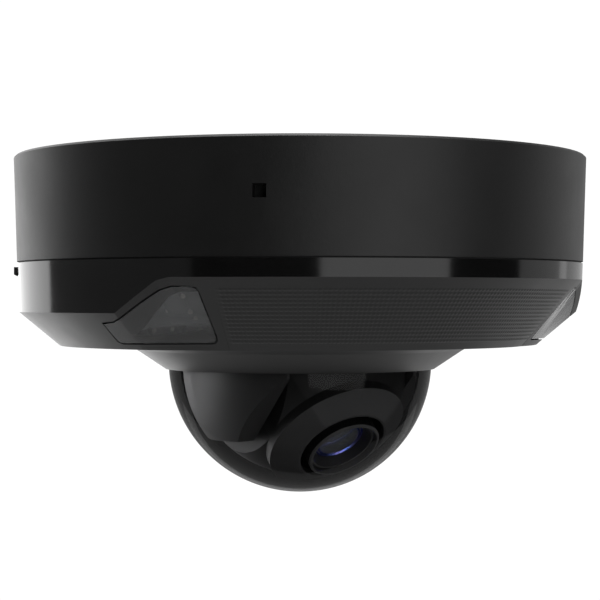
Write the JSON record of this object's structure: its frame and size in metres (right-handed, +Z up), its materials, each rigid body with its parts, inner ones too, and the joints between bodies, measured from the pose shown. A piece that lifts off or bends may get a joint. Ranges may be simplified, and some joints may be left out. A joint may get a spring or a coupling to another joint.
{
  "type": "dome cctv camera",
  "caption": "Ceiling-mounted mini dome security camera: round housing, lift-off cover with infrared windows and clear dome, and a head that pans, tilts and rolls.",
  "frame": {"origin": "centre of the ceiling face", "axes": "+Z up into the ceiling, -Y the front of the camera, +X to the right seen from the front"},
  "size_m": [0.11, 0.11, 0.0644],
  "materials": {
    "housing": "fine-grained satin moulding",
    "cover": "semi-gloss moulding with a ribbed, dotted front panel",
    "dome": "lightly smoked clear polycarbonate, polished",
    "window": "clear infrared-transmitting polycarbonate, polished",
    "seal": "soft black seal",
    "circuit_board": "solder-masked board",
    "chip": "moulded epoxy package",
    "heatsink": "extruded, clear anodised",
    "tin_shell": "tin-plated pressed shell",
    "connector": "moulded connector body",
    "ribbon": "polyimide flexible circuit",
    "button": "moulded key cap",
    "emitter": "silicone over infrared chips",
    "optic": "clear moulded optic",
    "bracket": "black moulded bracket",
    "plate_steel": "zinc-plated sheet steel",
    "brass": "turned brass",
    "screw_steel": "zinc-plated steel screws",
    "slip_washer": "low-friction plastic washer",
    "yoke": "fine satin black moulding",
    "head": "fine satin black moulding",
    "barrel": "black anodised, turned",
    "lens_glass": "coated optical glass",
    "sensor": "ceramic package under glass"
  },
  "bodies": {
    "root": {"base_housing": "housing", "ceiling_gasket": "seal", "cable_grommet": "seal", "seam_gasket": "seal", "microphone_capsule": "tin_shell", "microphone_membrane": "seal", "main_board": "circuit_board", "board_screws": "screw_steel", "processor_chip": "chip", "processor_heatsink": "heatsink", "power_transformer": "chip", "board_capacitors": "heatsink", "memory_card_slot": "tin_shell", "ribbon_connector": "connector", "ethernet_jack": "tin_shell", "reset_switch_body": "chip", "ir_board_left": "circuit_board", "ir_emitters_left": "emitter", "ir_optic_left": "optic", "ir_bracket_left": "bracket", "ir_board_right": "circuit_board", "ir_emitters_right": "emitter", "ir_optic_right": "optic", "ir_bracket_right": "bracket", "pan_bearing_plate": "plate_steel", "pan_friction_washer": "slip_washer", "chassis_standoffs": "brass", "chassis_screws": "screw_steel"},
    "reset_key": {"reset_button": "button"},
    "pan_unit": {"pan_yoke": "yoke", "pan_retaining_ring": "yoke", "sensor_ribbon": "ribbon"},
    "camera_head": {"head_front_shell": "head", "head_rear_shell": "head", "lens_unit_retaining_ring": "yoke", "tilt_pivot_pins": "screw_steel", "tilt_friction_washers": "slip_washer"},
    "lens_unit": {"lens_holder": "yoke", "sensor_board": "circuit_board", "sensor_board_screws": "screw_steel", "image_sensor": "sensor", "infrared_cut_filter": "lens_glass", "lens_barrel": "barrel", "front_lens_element": "lens_glass", "lens_retaining_ring": "barrel", "rear_lens_element": "lens_glass"},
    "cover": {"cover_shell": "cover", "ir_window_left": "window", "ir_window_right": "window", "cover_screws": "screw_steel", "dome_bubble": "dome", "dome_gasket": "seal", "dome_retaining_ring": "bracket", "dome_ring_screws": "screw_steel"}
  },
  "joints": [
    {"name": "cover_lift", "type": "slide", "parent": "root", "child": "cover", "axis": [0, 0, -1], "range_m": [0, 0.05]},
    {"name": "pan", "type": "hinge", "parent": "root", "child": "pan_unit", "pos_m": [0, 0, -0.0165], "axis": [0, 0, 1], "range_deg": [-176, 164]},
    {"name": "tilt", "type": "hinge", "parent": "pan_unit", "child": "camera_head", "pos_m": [0, 0, -0.04], "axis": [0.9945, 0.1045, 0], "range_deg": [-36, 44], "deforming": ["sensor_ribbon"]},
    {"name": "lens_rotation", "type": "hinge", "parent": "camera_head", "child": "lens_unit", "pos_m": [0, 0, -0.04], "axis": [0.0726, -0.6909, -0.7193], "range_deg": [-175, 175]},
    {"name": "reset_press", "type": "slide", "parent": "root", "child": "reset_key", "axis": [0, 0, 1], "range_m": [0, 0.0005], "stiffness_N_per_m": 1000, "springref_m": -0.0005}
  ]
}
